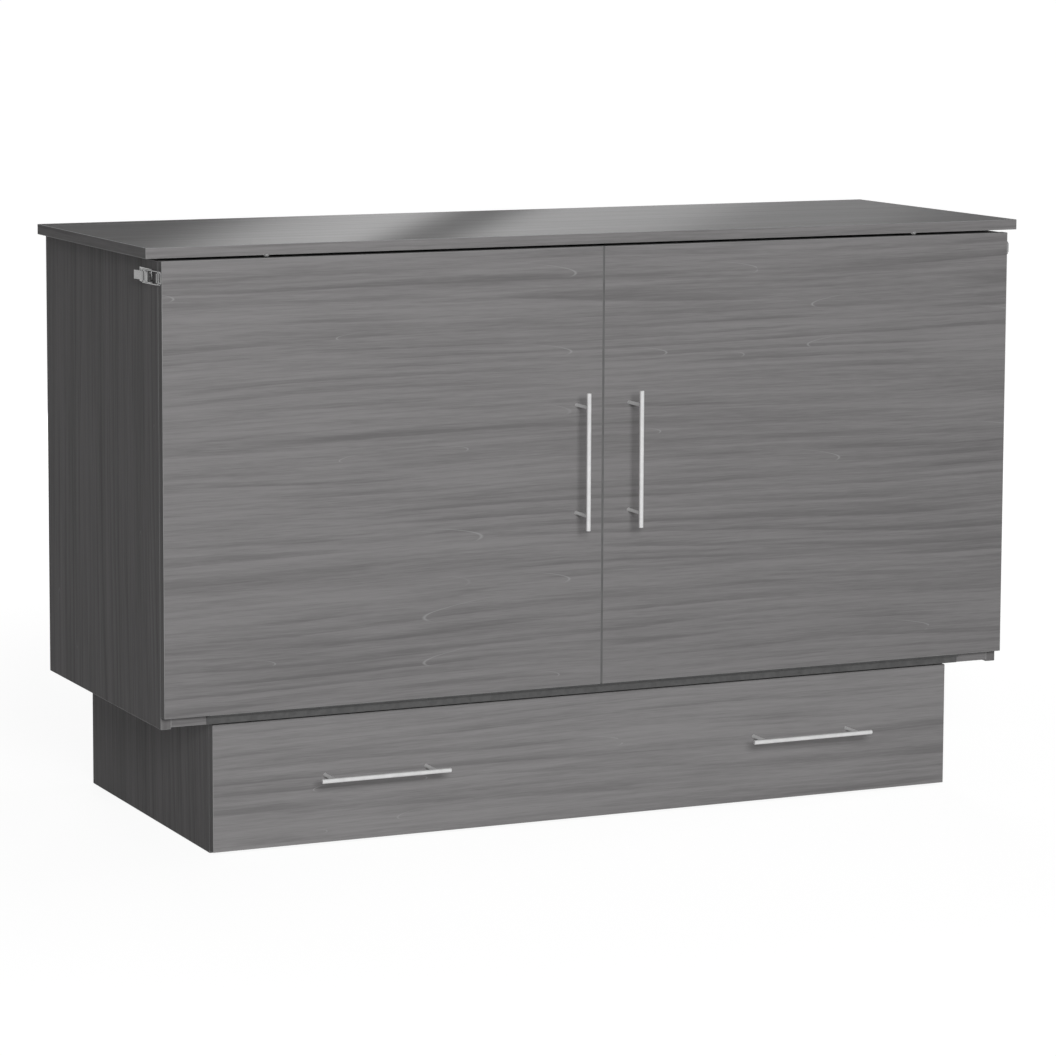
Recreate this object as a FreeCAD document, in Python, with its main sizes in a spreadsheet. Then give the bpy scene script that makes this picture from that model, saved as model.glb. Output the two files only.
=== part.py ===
import FreeCAD, Part
import Sketcher
import os
import re

# Cabinet bed: a cabinet on a drawer base. The lid tips back, the whole front
# folds down on a continuous hinge and becomes part of the bed deck, and a comb
# of slats slides out of it on two folding legs. The folded mattress stands
# inside. Millimetres, +Z up, the front faces -Y, and the origin is on the
# floor under the middle of the overall box.

os.makedirs("parts", exist_ok=True)
doc = FreeCAD.newDocument("cabinet_bed")

slats_each_side = 4

driving = {
    # boards and carcass
    "board": 18,
    "base_height": 226,
    "side_drop": 3,
    "top_rail_width": 64,
    # base under the carcass
    "base_inset": 96,
    "base_setback": 13,
    "wall_spacer": 50,
    "base_rail_width": 80,
    # lid
    "lid_overhang": 24,
    "lid_front_setback": 9,
    "lid_back_setback": 27,
    "lid_gap": 5,
    "bumper_radius": 5,
    "bumper_inset": 187,
    "bumper_front_shift": 2,
    "bumper_rear_shift": 10,
    "bumper_seat_gap": 0.3,
    # folding front
    "panel_gap": 0.5,
    "panel_rise": 1,
    "groove_width": 3,
    "groove_floor_width": 1.5,
    "groove_depth": 2,
    "fold_drop": 4,
    # continuous hinges
    "knuckle_radius": 2.5,
    "pin_radius": 1.2,
    "pin_clearance": 0.05,
    "leaf_thickness": 1.2,
    "leaf_clearance": 0.3,
    "leaf_width": 14,
    "lid_leaf_width": 28,
    "lid_knuckle_radius": 2.2,
    "lid_barrel_gap": 2.3,
    "hinge_end_room": 62,
    "knuckle_gap": 0.5,
    "knuckle_count": 18,
    # bar pulls
    "pull_length": 236,
    "pull_post_spacing": 186,
    "pull_diameter": 8,
    "pull_post_diameter": 6,
    "pull_standoff": 48,
    "front_pull_offset": 50,
    "front_pull_low": 276,
    "drawer_pull_inset": 295,
    "drawer_pull_height": 120,
    # slatted deck
    "slat_side_room": 72,
    "slat_width": 60,
    "deck_thickness": 30,
    "slide_clearance": 0.3,
    "fixed_slat_start": 6,
    "moving_slat_start": 10,
    "foot_rail_drop": 116,
    "foot_rail_width": 35,
    "foot_rail_side_room": 52,
    "slat_end_gap": 5,
    "strap_width": 28,
    "strap_thickness": 3,
    "head_slat_start": 36,
    # folding foot legs
    "leg_inset": 18,
    "leg_floor_gap": 0.5,
    "leg_width": 34,
    "leg_root": 24,
    "leg_tip": 16,
    "leg_tilt": 13,
    "leg_pin_radius": 5,
    "leg_pin_head_radius": 9,
    "leg_pin_head": 3,
    "leg_side_play": 0.5,
    "leg_pad": 4,
    # mattress in three sections
    "mattress_width": 1524,
    "mattress_section": 677,
    "mattress_thickness": 148,
    "mattress_gap": 2,
    "mattress_start": 96,
    "mattress_crown": 6,
    "mattress_draw": 5,
    "mattress_side_room": 20,
    "mattress_top_room": 31,
    "mattress_back_room": 20,
    # drawer
    "drawer_top_gap": 5,
    "drawer_floor_gap": 4,
    "drawer_board": 15,
    "drawer_box_depth": 500,
    "drawer_box_height": 150,
    "drawer_box_lift": 26,
    "drawer_bottom_board": 6,
    "drawer_bottom_lift": 10,
    # drawer runners
    "runner_space": 13,
    "runner_length": 400,
    "runner_height": 40,
    "runner_depth": 10,
    "runner_wall": 1.5,
    "runner_lift": 62,
    "runner_setback": 2,
    "runner_play": 0.3,
    # side latches
    "latch_drop": 27,
    "latch_plate_start": 22,
    "latch_plate_length": 62,
    "latch_plate_height": 24,
    "latch_plate_thickness": 1.5,
    "latch_clearance": 0.3,
    "latch_pivot_back": 34,
    "latch_pivot_out": 6.5,
    "latch_hub_radius": 3,
    "latch_pin_radius": 1.5,
    "latch_ear_width": 9,
    "latch_lever_height": 15,
    "latch_lever_length": 46,
    "latch_lever_bend": 32,
    "latch_lever_thickness": 1.8,
    "latch_tail_out": 6.5,
    "latch_link_back": 14,
    "latch_link_out": 3,
    "latch_wire_radius": 1,
    "latch_loop_height": 21.6,
    "latch_corner_radius": 3,
    "latch_bar_front": 13,
    "latch_bar_out": 4,
    "keeper_width": 15,
    "keeper_hook_out": 7,
    "keeper_hook_height": 16,
    "keeper_hook_lean": 1,
    "rivet_radius": 2,
    "rivet_height": 1.2,
    "rivet_edge": 5,
}

sheet = doc.addObject("Spreadsheet::Sheet", "sizes")
for row, (word, number) in enumerate(driving.items(), start=1):
    sheet.set("A%d" % row, word)
    sheet.set("B%d" % row, str(number))
    sheet.setAlias("B%d" % row, word)
doc.recompute()

# Planes and lines that several pieces share, worked out from the sheet.
shared = {
    "width": "mattress_width + 2 * mattress_side_room + 2 * board",
    "carcass_height": "mattress_section + mattress_top_room + 2 * board + deck_thickness",
    "depth": "mattress_start + 3 * mattress_thickness + 2 * mattress_gap + mattress_back_room + board",
    "pull_reach": "pull_standoff + pull_diameter / 2",
    "front": "(board + panel_gap + pull_reach - depth - wall_spacer) / 2",
    "back": "front + depth",
    "inner_half": "width / 2 - board",
    "floor_top": "base_height + board",
    "side_top": "base_height + carcass_height",
    "lid_low": "side_top + lid_gap",
    "panel_back": "front - panel_gap",
    "panel_front": "panel_back - board",
    "panel_height": "side_top + panel_rise - floor_top",
    "fold_y": "front - fold_drop",
    "fold_z": "floor_top - fold_drop",
    "lid_back": "back - lid_back_setback",
    "lid_axis_y": "lid_back + lid_knuckle_radius + lid_barrel_gap",
    "lid_axis_z": "side_top + lid_gap / 2",
    "hinge_length": "2 * (inner_half - hinge_end_room)",
    "knuckle_length": "hinge_length / (2 * knuckle_count) - knuckle_gap",
    "base_half": "width / 2 - base_inset",
    "base_inner": "base_half - board",
    "base_front": "front + base_setback",
    "base_back": "back + wall_spacer",
    "base_depth": "base_back - base_front - board",
    "drawer_half": "base_inner - runner_space",
    "drawer_low": "drawer_floor_gap + drawer_box_lift",
    "drawer_box_front": "base_front + board",
    "runner_low": "drawer_low + runner_lift",
    "deck_top": "floor_top + deck_thickness",
    "slat_pitch": "(2 * inner_half - 2 * slat_side_room - slat_width) / %d" % (2 * slats_each_side),
    "foot_rail_length": "2 * (inner_half - foot_rail_side_room)",
    "leg_offset": "foot_rail_length / 2 - leg_inset",
    "drawer_pull_offset": "base_half - drawer_pull_inset",
    "foot_rail_start": "side_top + panel_rise - foot_rail_drop - fold_z",
    "rail_low": "fold_z + foot_rail_start",
    "rail_high": "rail_low + foot_rail_width",
    "leg_axis_y": "panel_back + deck_thickness / 2",
    "leg_low": "rail_high + leg_side_play",
    "leg_length": "fold_z + leg_axis_y - fold_y - leg_floor_gap",
    "latch_mid": "side_top - latch_drop",
}
layout = doc.addObject("App::VarSet", "layout")


def words(text):
    """Give each named size in a formula its place in the document."""
    def place(found):
        word = found.group()
        if word in driving:
            return "sizes." + word
        if word in shared:
            return "layout." + word
        return word
    return re.sub(r"[a-z_]+", place, text)


for word, formula in shared.items():
    layout.addProperty("App::PropertyFloat", word)
    layout.setExpression(word, words(formula))
doc.recompute()


def bind(item, prop, formula):
    item.setExpression(prop, words(formula))


def put(item, x="0", y="0", z="0"):
    bind(item, "Placement.Base.x", x)
    bind(item, "Placement.Base.y", y)
    bind(item, "Placement.Base.z", z)


made = []


def keep(item, label):
    item.Label = label
    made.append(item)
    return item


def block(x_size, y_size, z_size, x, y, z):
    """A square-cut board with its low corner at x, y, z."""
    box = doc.addObject("Part::Box", "board")
    bind(box, "Length", x_size)
    bind(box, "Width", y_size)
    bind(box, "Height", z_size)
    put(box, x, y, z)
    return box


def board(label, x_size, y_size, z_size, x, y, z):
    return keep(block(x_size, y_size, z_size, x, y, z), label)


def group(label, items):
    """Several like pieces that share one name."""
    bundle = doc.addObject("Part::Compound", "group")
    bundle.Links = items
    return keep(bundle, label)


def body_for(label, x="0", y="0", z="0"):
    body = doc.addObject("PartDesign::Body", "body")
    put(body, x, y, z)
    return keep(body, label)


def sketch_on(body, role):
    sketch = body.newObject("Sketcher::SketchObject", "sketch")
    plane = [f for f in body.Origin.OriginFeatures if f.Role == role][0]
    sketch.AttachmentSupport = (plane, [""])
    sketch.MapMode = "FlatFace"
    return sketch


def polygon(sketch, corners):
    """A closed outline whose corners are tied to the origin by formulas."""
    count = len(corners)
    base = sketch.GeometryCount
    for index in range(count):
        here = FreeCAD.Vector(index * 7 % 5, index, 0)
        there = FreeCAD.Vector((index + 1) * 7 % 5, (index + 1) % count, 0)
        sketch.addGeometry(Part.LineSegment(here, there), False)
    for index in range(count):
        line = base + index
        after = base + (index + 1) % count
        sketch.addConstraint(Sketcher.Constraint("Coincident", line, 2, after, 1))
    for index, (across, along) in enumerate(corners):
        line = base + index
        for kind, formula in (("DistanceX", across), ("DistanceY", along)):
            number = sketch.addConstraint(Sketcher.Constraint(kind, -1, 1, line, 1, 1.0))
            bind(sketch, "Constraints[%d]" % number, formula)
    return sketch


def rectangle(sketch, low_across, high_across, low_along, high_along):
    return polygon(sketch, [(low_across, low_along), (high_across, low_along),
                            (high_across, high_along), (low_across, high_along)])


def circle(sketch, radius, across="0", along="0"):
    ring = Part.Circle(FreeCAD.Vector(1, 1, 0), FreeCAD.Vector(0, 0, 1), 1)
    geometry = sketch.addGeometry(ring, False)
    number = sketch.addConstraint(Sketcher.Constraint("Radius", geometry, 1.0))
    bind(sketch, "Constraints[%d]" % number, radius)
    for kind, formula in (("DistanceX", across), ("DistanceY", along)):
        number = sketch.addConstraint(Sketcher.Constraint(kind, -1, 1, geometry, 3, 1.0))
        bind(sketch, "Constraints[%d]" % number, formula)
    return sketch


def lift(sketch, formula):
    bind(sketch, "AttachmentOffset.Base.z", formula)
    return sketch


def pad(body, sketch, length, both_ways=False):
    feature = body.newObject("PartDesign::Pad", "pad")
    feature.Profile = sketch
    bind(feature, "Length", length)
    if both_ways:
        feature.SideType = "Symmetric"
    body.Tip = feature
    return feature


def pocket(body, sketch, against=False):
    feature = body.newObject("PartDesign::Pocket", "pocket")
    feature.Profile = sketch
    feature.Type = "ThroughAll"
    feature.Reversed = against
    body.Tip = feature
    return feature


# ---- carcass -----------------------------------------------------------------

for label, start in (("side_left", "-width / 2"), ("side_right", "inner_half")):
    board(label, "board", "depth", "carcass_height + side_drop",
          start, "front", "base_height - side_drop")
board("cabinet_floor", "2 * inner_half", "depth", "board",
      "-inner_half", "front", "base_height")
board("back_panel", "2 * inner_half", "board", "carcass_height - board",
      "-inner_half", "back - board", "floor_top")
board("top_rail", "2 * inner_half", "top_rail_width", "board",
      "-inner_half", "back - board - top_rail_width", "side_top - board")

# ---- base --------------------------------------------------------------------

for label, start in (("base_side_left", "-base_half"), ("base_side_right", "base_inner")):
    board(label, "board", "base_depth", "base_height", start, "base_front + board", "0")
board("base_back", "2 * base_inner", "board", "base_height - board",
      "-base_inner", "base_back - board", "0")
for label, start in (("base_rail_front", "base_front + board"),
                     ("base_rail_rear", "base_back - base_rail_width")):
    board(label, "2 * base_inner", "base_rail_width", "board",
          "-base_inner", start, "base_height - board")

# ---- slats on the cabinet floor ----------------------------------------------

head_slats = []
for step in range(-slats_each_side, slats_each_side + 1):
    head_slats.append(block("slat_width", "depth - board - head_slat_start", "deck_thickness",
                            "%d * slat_pitch - slat_width / 2" % step,
                            "front + head_slat_start", "floor_top"))
group("head_slats", head_slats)

# ---- mattress, folded in three and standing on the slats ---------------------


def arc_side(start, middle, end):
    return Part.Arc(FreeCAD.Vector(*start), FreeCAD.Vector(*middle), FreeCAD.Vector(*end)).toShape()


def mattress_section():
    """A crowned block whose edges draw in: two crossed outlines in common."""
    half = sheet.mattress_width / 2
    high = sheet.mattress_section
    thick = sheet.mattress_thickness
    crown = sheet.mattress_crown
    draw = sheet.mattress_draw
    crowned = Part.Wire([
        arc_side((-half, crown, 0), (-half, 0, high / 2), (-half, crown, high)),
        Part.makeLine((-half, crown, high), (-half, thick - crown, high)),
        arc_side((-half, thick - crown, high), (-half, thick, high / 2), (-half, thick - crown, 0)),
        Part.makeLine((-half, thick - crown, 0), (-half, crown, 0))])
    drawn = Part.Wire([
        arc_side((-half, 0, 0), (-half + draw, 0, high / 2), (-half, 0, high)),
        arc_side((-half, 0, high), (0, 0, high - draw), (half, 0, high)),
        arc_side((half, 0, high), (half - draw, 0, high / 2), (half, 0, 0)),
        Part.makeLine((half, 0, 0), (-half, 0, 0))])
    along_width = Part.Face(crowned).extrude(FreeCAD.Vector(2 * half, 0, 0))
    along_depth = Part.Face(drawn).extrude(FreeCAD.Vector(0, thick, 0))
    return along_width.common(along_depth)


for place, label in enumerate(("mattress_foot", "mattress_middle", "mattress_head")):
    section = doc.addObject("Part::Feature", "mattress")
    section.Shape = mattress_section()
    put(section, "0",
        "front + mattress_start + %d * (mattress_thickness + mattress_gap)" % place,
        "deck_top")
    keep(section, label)

# ---- continuous hinges -------------------------------------------------------


def hinge_half(label, y, z, radius, plate, web, first):
    """One leaf of a continuous hinge, on an axis along X through y, z."""
    body = body_for(label, "-hinge_length / 2", y, z)
    pad(body, rectangle(sketch_on(body, "YZ_Plane"), *plate), "hinge_length - knuckle_gap")
    disc = sketch_on(body, "YZ_Plane")
    circle(lift(disc, first), radius)
    disc_pad = pad(body, disc, "knuckle_length")
    neck = sketch_on(body, "YZ_Plane")
    rectangle(lift(neck, first), *web)
    neck_pad = pad(body, neck, "knuckle_length")
    pattern = body.newObject("PartDesign::LinearPattern", "knuckles")
    pattern.Originals = [disc_pad, neck_pad]
    pattern.Direction = (body.Origin.OriginFeatures[0], [""])
    pattern.Mode = "Spacing"
    bind(pattern, "Offset", "hinge_length / knuckle_count")
    pattern.Occurrences = int(sheet.knuckle_count)
    body.Tip = pattern
    pocket(body, circle(sketch_on(body, "YZ_Plane"), "pin_radius + pin_clearance"), True)
    return body


def hinge_pin(label, y, z):
    pin = doc.addObject("Part::Cylinder", "pin")
    bind(pin, "Radius", "pin_radius")
    bind(pin, "Height", "hinge_length")
    pin.Placement.Rotation = FreeCAD.Rotation(FreeCAD.Vector(0, 1, 0), 90)
    put(pin, "-hinge_length / 2", y, z)
    return keep(pin, label)


hinge_half("front_hinge_leaf", "fold_y", "fold_z", "knuckle_radius",
           ("fold_drop - leaf_thickness", "fold_drop", "-leaf_width", "knuckle_radius"),
           ("0", "fold_drop", "-knuckle_radius", "0"), "0")
hinge_half("front_hinge_flap", "fold_y", "fold_z", "knuckle_radius",
           ("-leaf_width", "knuckle_radius", "fold_drop - leaf_thickness", "fold_drop"),
           ("-knuckle_radius", "0", "0", "fold_drop"), "knuckle_length + knuckle_gap")
hinge_pin("front_hinge_pin", "fold_y", "fold_z")

lid_plate_reach = ("-lid_leaf_width", "-lid_knuckle_radius - leaf_clearance")
lid_neck_reach = ("-lid_knuckle_radius - 2 * leaf_clearance", "0")
low_leaf = ("-lid_gap / 2", "leaf_thickness - lid_gap / 2")
high_leaf = ("lid_gap / 2 - leaf_thickness", "lid_gap / 2")
hinge_half("lid_hinge_leaf", "lid_axis_y", "lid_axis_z", "lid_knuckle_radius",
           lid_plate_reach + low_leaf, lid_neck_reach + low_leaf, "0")
hinge_half("lid_hinge_flap", "lid_axis_y", "lid_axis_z", "lid_knuckle_radius",
           lid_plate_reach + high_leaf, lid_neck_reach + high_leaf,
           "knuckle_length + knuckle_gap")
hinge_pin("lid_hinge_pin", "lid_axis_y", "lid_axis_z")

# ---- lid ---------------------------------------------------------------------

board("lid", "width + 2 * lid_overhang", "lid_back - panel_front - lid_front_setback", "board",
      "-width / 2 - lid_overhang", "panel_front + lid_front_setback", "lid_low")
bumpers = []
for side in ("-", ""):
    for row in ("panel_back - board / 2 + bumper_front_shift",
                "back - board / 2 - top_rail_width + bumper_rear_shift"):
        disc = doc.addObject("Part::Cylinder", "bumper")
        bind(disc, "Radius", "bumper_radius")
        bind(disc, "Height", "lid_gap - panel_rise - bumper_seat_gap")
        put(disc, side + "(width / 2 - bumper_inset)", row,
            "side_top + panel_rise + bumper_seat_gap")
        bumpers.append(disc)
group("lid_bumpers", bumpers)

# ---- folding front -----------------------------------------------------------

panel = body_for("front_panel", "0", "panel_back", "floor_top")
pad(panel, rectangle(sketch_on(panel, "XZ_Plane"), "-width / 2", "width / 2",
                     "0", "panel_height"), "board")
groove = polygon(sketch_on(panel, "XY_Plane"),
                 [("-groove_width / 2", "-board"), ("groove_width / 2", "-board"),
                  ("groove_floor_width / 2", "groove_depth - board"),
                  ("-groove_floor_width / 2", "groove_depth - board")])
pocket(panel, groove, True)

fixed_slats = []
for step in range(-slats_each_side, slats_each_side + 1):
    fixed_slats.append(block("slat_width", "deck_thickness",
                             "foot_rail_start - slat_end_gap - fixed_slat_start",
                             "%d * slat_pitch - slat_width / 2" % step,
                             "panel_back", "fold_z + fixed_slat_start"))
group("deck_slats_fixed", fixed_slats)
board("keeper_strap", "2 * (inner_half - slat_side_room)", "strap_thickness", "strap_width",
      "slat_side_room - inner_half", "panel_back + deck_thickness",
      "rail_low - slat_end_gap - strap_width")

# ---- sliding comb and its legs -----------------------------------------------

moving_slats = []
for step in range(-slats_each_side, slats_each_side):
    moving_slats.append(block("slat_width", "deck_thickness - 2 * slide_clearance",
                              "foot_rail_start - moving_slat_start",
                              "(%d + 0.5) * slat_pitch - slat_width / 2" % step,
                              "panel_back + slide_clearance", "fold_z + moving_slat_start"))
group("deck_slats_moving", moving_slats)
board("foot_rail", "foot_rail_length", "deck_thickness - 2 * slide_clearance",
      "foot_rail_width", "-foot_rail_length / 2", "panel_back + slide_clearance", "rail_low")

for side, sign, angle in (("left", "-", "leg_tilt"), ("right", "", "180 - leg_tilt")):
    pin = body_for("leg_pin_" + side, sign + "leg_offset", "leg_axis_y", "rail_high")
    pad(pin, circle(sketch_on(pin, "XY_Plane"), "leg_pin_radius"),
        "leg_width + 2 * leg_side_play + leg_pin_head")
    head = circle(sketch_on(pin, "XY_Plane"), "leg_pin_head_radius")
    pad(pin, lift(head, "leg_width + 2 * leg_side_play"), "leg_pin_head")

    leg = body_for("foot_leg_" + side, sign + "leg_offset", "leg_axis_y", "leg_low")
    shaft = polygon(sketch_on(leg, "XY_Plane"),
                    [("0", "-leg_root / 2"), ("leg_length - leg_pad", "-leg_tip / 2"),
                     ("leg_length - leg_pad", "leg_tip / 2"), ("0", "leg_root / 2")])
    pad(leg, shaft, "leg_width")
    pad(leg, circle(sketch_on(leg, "XY_Plane"), "leg_root / 2"), "leg_width")
    pocket(leg, circle(sketch_on(leg, "XY_Plane"), "leg_pin_radius + pin_clearance"), True)
    leg.Placement.Rotation = FreeCAD.Rotation(FreeCAD.Vector(0, 0, 1), 0)
    bind(leg, "Placement.Rotation.Angle", angle)

    foot = body_for("leg_pad_" + side, sign + "leg_offset", "leg_axis_y", "leg_low")
    pad(foot, rectangle(sketch_on(foot, "XY_Plane"), "leg_length - leg_pad", "leg_length",
                        "-leg_tip / 2", "leg_tip / 2"), "leg_width")
    foot.Placement.Rotation = FreeCAD.Rotation(FreeCAD.Vector(0, 0, 1), 0)
    bind(foot, "Placement.Rotation.Angle", angle)

# ---- bar pulls ---------------------------------------------------------------


def bar_pull(label, x, y, z, upright):
    """A round bar on two posts that stand out from the face at y."""
    body = body_for(label, x, y, z)
    plane = "XY_Plane" if upright else "YZ_Plane"
    bar = sketch_on(body, plane)
    if upright:
        circle(bar, "pull_diameter / 2", "0", "-pull_standoff")
    else:
        circle(bar, "pull_diameter / 2", "-pull_standoff", "0")
    pad(body, bar, "pull_length", True)
    posts = sketch_on(body, "XZ_Plane")
    for way in ("-", ""):
        along = way + "pull_post_spacing / 2"
        place = ("0", along) if upright else (along, "0")
        circle(posts, "pull_post_diameter / 2", *place)
    pad(body, posts, "pull_standoff")
    return body


for side, sign in (("left", "-"), ("right", "")):
    bar_pull("front_pull_" + side, sign + "front_pull_offset", "panel_front",
             "floor_top + front_pull_low + pull_length / 2", True)
    bar_pull("drawer_pull_" + side, sign + "drawer_pull_offset", "base_front",
             "drawer_pull_height", False)

# ---- drawer ------------------------------------------------------------------

board("drawer_front", "2 * base_half", "board",
      "base_height - drawer_top_gap - drawer_floor_gap",
      "-base_half", "base_front", "drawer_floor_gap")
for label, start in (("drawer_side_left", "-drawer_half"),
                     ("drawer_side_right", "drawer_half - drawer_board")):
    board(label, "drawer_board", "drawer_box_depth", "drawer_box_height",
          start, "drawer_box_front", "drawer_low")
board("drawer_back", "2 * (drawer_half - drawer_board)", "drawer_board", "drawer_box_height",
      "drawer_board - drawer_half", "drawer_box_front + drawer_box_depth - drawer_board",
      "drawer_low")
board("drawer_bottom", "2 * (drawer_half - drawer_board)", "drawer_box_depth - drawer_board",
      "drawer_bottom_board", "drawer_board - drawer_half", "drawer_box_front",
      "drawer_low + drawer_bottom_lift")

# ---- runners: a C-shaped rail on the base and a bar on the drawer ------------

for side, angle in (("left", 0), ("right", 180)):
    sign = "-" if side == "left" else ""
    start = "base_front + board + runner_setback"
    if side == "right":
        start = start + " + runner_length"
    rail = body_for("runner_fixed_" + side, sign + "base_inner", start, "runner_low")
    profile = polygon(sketch_on(rail, "XZ_Plane"), [
        ("0", "0"), ("runner_depth", "0"), ("runner_depth", "runner_wall"),
        ("runner_wall", "runner_wall"), ("runner_wall", "runner_height - runner_wall"),
        ("runner_depth", "runner_height - runner_wall"), ("runner_depth", "runner_height"),
        ("0", "runner_height")])
    pad(rail, profile, "runner_length").Reversed = True
    rail.Placement.Rotation = FreeCAD.Rotation(FreeCAD.Vector(0, 0, 1), angle)
    slider_inset = "runner_wall + runner_play"
    slider_start = ("-base_inner + " + slider_inset) if side == "left" else "drawer_half"
    board("runner_slide_" + side, "runner_space - runner_wall - runner_play", "runner_length",
          "runner_height - 2 * runner_wall - 2 * runner_play",
          slider_start, "base_front + board + runner_setback", "runner_low + " + slider_inset)

# ---- draw latches at the top front corners -----------------------------------


def latch_body(label, side, out="0", back="0"):
    """A latch piece: outwards is -X on the left, and turned over on the right."""
    sign = "-" if side == "left" else ""
    body = body_for(label + "_" + side, "%s(width / 2 + %s)" % (sign, out),
                    "front + " + back, "latch_mid")
    turn = 0 if side == "left" else 180
    body.Placement.Rotation = FreeCAD.Rotation(FreeCAD.Vector(0, 1, 0), turn)
    return body


def latch_loop(label, side):
    """A closed wire loop with round corners, from the lever to the keeper."""
    rear = FreeCAD.Vector(0, 0, 0)
    reach = FreeCAD.Vector(sheet.latch_pivot_out + sheet.latch_link_out - sheet.latch_bar_out,
                           -(sheet.latch_pivot_back + sheet.latch_link_back
                             + sheet.latch_bar_front), 0)
    along = FreeCAD.Vector(reach).normalize()
    half = sheet.latch_loop_height / 2
    bend = sheet.latch_corner_radius
    up = FreeCAD.Vector(0, 0, 1)
    cut = bend * (1 - 0.5 ** 0.5)
    edges = []
    corners = [(rear, -1, -1), (reach, -1, 1), (reach, 1, 1), (rear, 1, -1)]
    ends = []
    for place, high, far in corners:
        corner = place + up * (high * half)
        on_bar = corner - up * (high * bend)
        on_side = corner - along * (far * bend)
        middle = corner - up * (high * cut) - along * (far * cut)
        first, last = (on_bar, on_side) if high * far > 0 else (on_side, on_bar)
        ends.append((first, middle, last))
    for index, (first, middle, last) in enumerate(ends):
        edges.append(Part.Arc(first, middle, last).toShape())
        edges.append(Part.makeLine(last, ends[(index + 1) % 4][0]))
    path = Part.Wire(edges)
    start = ends[3][2]
    round_wire = Part.Wire(Part.makeCircle(sheet.latch_wire_radius, start, up))
    loop = doc.addObject("Part::Feature", "loop")
    loop.Shape = path.makePipeShell([round_wire], True, True)
    turn = 0 if side == "left" else 180
    loop.Placement.Rotation = FreeCAD.Rotation(FreeCAD.Vector(0, 1, 0), turn)
    sign = "-" if side == "left" else ""
    put(loop, sign + "(width / 2 + latch_pivot_out + latch_link_out)",
        "front + latch_pivot_back + latch_link_back", "latch_mid")
    return keep(loop, label + "_" + side)


def rivets(label, places):
    items = []
    for side, sign in (("left", "-"), ("right", "")):
        for back, height in places:
            rivet = doc.addObject("Part::Cylinder", "rivet")
            bind(rivet, "Radius", "rivet_radius")
            bind(rivet, "Height", "rivet_height")
            turn = -90 if side == "left" else 90
            rivet.Placement.Rotation = FreeCAD.Rotation(FreeCAD.Vector(0, 1, 0), turn)
            put(rivet, sign + "(width / 2 + latch_plate_thickness)",
                "front + " + back, "latch_mid + " + height)
            items.append(rivet)
    return group(label, items)


for side in ("left", "right"):
    base = latch_body("latch_base", side)
    pad(base, rectangle(sketch_on(base, "XY_Plane"), "-latch_plate_thickness", "0",
                        "latch_plate_start", "latch_plate_start + latch_plate_length"),
        "latch_plate_height", True)
    ear_low = "latch_lever_height / 2 + latch_clearance"
    for first in (ear_low, "-(%s) - latch_plate_thickness" % ear_low):
        ear = sketch_on(base, "XY_Plane")
        rectangle(lift(ear, first), "-latch_pivot_out", "0",
                  "latch_pivot_back - latch_ear_width / 2",
                  "latch_pivot_back + latch_ear_width / 2")
        pad(base, ear, "latch_plate_thickness")
        tip = sketch_on(base, "XY_Plane")
        circle(lift(tip, first), "latch_ear_width / 2", "-latch_pivot_out", "latch_pivot_back")
        pad(base, tip, "latch_plate_thickness")
    pin_hole = sketch_on(base, "XY_Plane")
    circle(lift(pin_hole, "-latch_plate_height"), "latch_pin_radius + pin_clearance",
           "-latch_pivot_out", "latch_pivot_back")
    pocket(base, pin_hole, True)

    pivot = latch_body("latch_pin", side, "latch_pivot_out", "latch_pivot_back")
    pad(pivot, circle(sketch_on(pivot, "XY_Plane"), "latch_pin_radius"),
        "2 * (%s + latch_plate_thickness)" % ear_low, True)

    lever = latch_body("latch_lever", side, "latch_pivot_out", "latch_pivot_back")
    pad(lever, circle(sketch_on(lever, "XY_Plane"), "latch_hub_radius"),
        "latch_lever_height", True)
    pad(lever, circle(sketch_on(lever, "XY_Plane"), "latch_hub_radius",
                      "-latch_link_out", "latch_link_back"), "latch_lever_height", True)
    arm = polygon(sketch_on(lever, "XY_Plane"), [
        ("0", "0"),
        ("latch_lever_thickness - latch_link_out", "latch_link_back"),
        ("latch_lever_thickness - latch_link_out", "latch_lever_bend"),
        ("latch_lever_thickness - latch_tail_out", "latch_lever_length"),
        ("-latch_tail_out", "latch_lever_length"),
        ("-latch_link_out", "latch_lever_bend"),
        ("-latch_link_out", "latch_link_back"),
        ("-latch_lever_thickness", "0")])
    pad(lever, arm, "latch_lever_height", True)
    for across, along, bore in (("0", "0", "latch_pin_radius"),
                                ("-latch_link_out", "latch_link_back", "latch_wire_radius")):
        hole = sketch_on(lever, "XY_Plane")
        circle(lift(hole, "-latch_lever_height"), bore + " + pin_clearance", across, along)
        pocket(lever, hole, True)

    latch_loop("latch_loop", side)

    keeper = latch_body("latch_keeper", side)
    pad(keeper, rectangle(sketch_on(keeper, "XY_Plane"), "-latch_plate_thickness", "0",
                          "-panel_gap - board / 2 - keeper_width / 2",
                          "-panel_gap - board / 2 + keeper_width / 2"),
        "latch_plate_height", True)
    hook_front = "latch_wire_radius + latch_clearance + keeper_hook_lean - latch_bar_front"
    hook = polygon(sketch_on(keeper, "XY_Plane"), [
        ("0", hook_front),
        ("-keeper_hook_out", hook_front + " - keeper_hook_lean"),
        ("-keeper_hook_out", hook_front + " - keeper_hook_lean + latch_plate_thickness"),
        ("0", hook_front + " + latch_plate_thickness")])
    pad(keeper, hook, "keeper_hook_height", True)

rivet_row = "latch_plate_start + latch_plate_length - rivet_edge"
rivets("latch_rivets", [(rivet_row, "latch_plate_height / 2 - rivet_edge"),
                        (rivet_row, "rivet_edge - latch_plate_height / 2")])
rivets("keeper_screws", [("rivet_edge - panel_gap - board / 2", "latch_plate_height / 2 - rivet_edge"),
                         ("rivet_edge - panel_gap - board / 2", "rivet_edge - latch_plate_height / 2")])

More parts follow.
